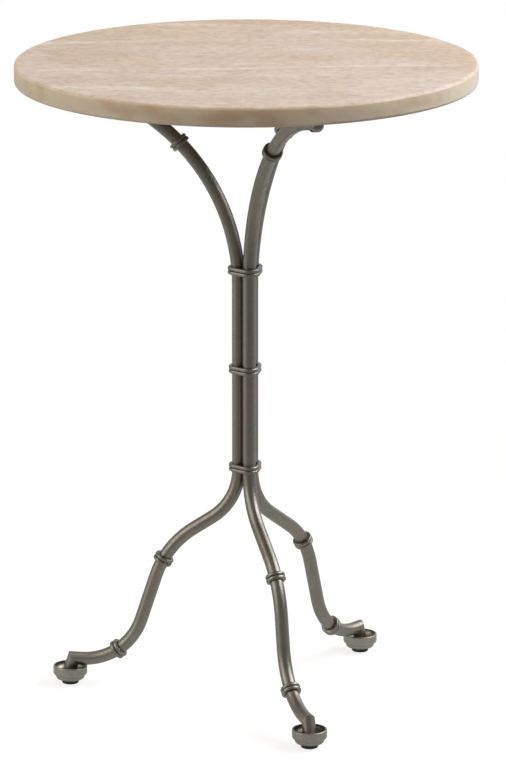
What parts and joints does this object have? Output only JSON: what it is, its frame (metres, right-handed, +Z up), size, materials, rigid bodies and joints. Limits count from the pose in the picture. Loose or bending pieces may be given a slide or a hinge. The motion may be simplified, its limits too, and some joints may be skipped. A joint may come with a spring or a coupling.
{
  "type": "accent table",
  "caption": "Round stone-topped accent table on a column of bundled bent rods that splay into arms and curved legs, with beaded rings, cup feet and levelling glides.",
  "frame": {"origin": "on the floor, under the middle of the column", "axes": "+Z up; the front leg points along -Y, the left and right legs 120 degrees to each side of it"},
  "size_m": [0.4319, 0.432, 0.616],
  "materials": {
    "stone": "honed vein-cut travertine",
    "rod_metal": "aged pewter on iron bar, satin",
    "ring_metal": "aged pewter on cast iron, satin",
    "cup_metal": "aged pewter on cast iron, satin",
    "glide_plastic": "matt",
    "stud_steel": "zinc plated",
    "screw_steel": "black oxide",
    "insert_brass": "turned",
    "washer_rubber": "matt"
  },
  "bodies": {
    "table": {"table_top": "stone", "rod_left": "rod_metal", "rod_front": "rod_metal", "rod_right": "rod_metal", "arm_ring_left": "ring_metal", "arm_ring_front": "ring_metal", "arm_ring_right": "ring_metal", "knee_ring_left": "ring_metal", "knee_ring_front": "ring_metal", "knee_ring_right": "ring_metal", "ankle_ring_left": "ring_metal", "ankle_ring_front": "ring_metal", "ankle_ring_right": "ring_metal", "foot_cup_left": "cup_metal", "foot_cup_front": "cup_metal", "foot_cup_right": "cup_metal", "top_insert_left": "insert_brass", "top_insert_front": "insert_brass", "top_insert_right": "insert_brass", "top_washer_left": "washer_rubber", "top_washer_front": "washer_rubber", "top_washer_right": "washer_rubber", "top_screw_left": "screw_steel", "top_screw_front": "screw_steel", "top_screw_right": "screw_steel", "column_collar_top": "ring_metal", "column_collar_middle": "ring_metal", "column_collar_bottom": "ring_metal"},
    "left_glide": {"glide_pad_left": "glide_plastic"},
    "left_stud": {"glide_stud_left": "stud_steel"},
    "front_glide": {"glide_pad_front": "glide_plastic"},
    "front_stud": {"glide_stud_front": "stud_steel"},
    "right_glide": {"glide_pad_right": "glide_plastic"},
    "right_stud": {"glide_stud_right": "stud_steel"}
  },
  "joints": [
    {"name": "left_glide_extend", "type": "slide", "parent": "table", "child": "left_glide", "axis": [0, 0, -1], "range_m": [0, 0.006]},
    {"name": "left_stud_turn", "type": "hinge", "parent": "left_glide", "child": "left_stud", "pos_m": [-0.14982, 0.0865, 0], "axis": [0, 0, -1], "range_deg": [0, 2160]},
    {"name": "front_glide_extend", "type": "slide", "parent": "table", "child": "front_glide", "axis": [0, 0, -1], "range_m": [0, 0.006]},
    {"name": "front_stud_turn", "type": "hinge", "parent": "front_glide", "child": "front_stud", "pos_m": [0, -0.173, 0], "axis": [0, 0, -1], "range_deg": [0, 2160]},
    {"name": "right_glide_extend", "type": "slide", "parent": "table", "child": "right_glide", "axis": [0, 0, -1], "range_m": [0, 0.006]},
    {"name": "right_stud_turn", "type": "hinge", "parent": "right_glide", "child": "right_stud", "pos_m": [0.14982, 0.0865, 0], "axis": [0, 0, -1], "range_deg": [0, 2160]}
  ],
  "couplings": [
    {"joint": "left_stud_turn", "follows": "left_glide_extend", "rad_per_m": 6283.2},
    {"joint": "front_stud_turn", "follows": "front_glide_extend", "rad_per_m": 6283.2},
    {"joint": "right_stud_turn", "follows": "right_glide_extend", "rad_per_m": 6283.2}
  ]
}
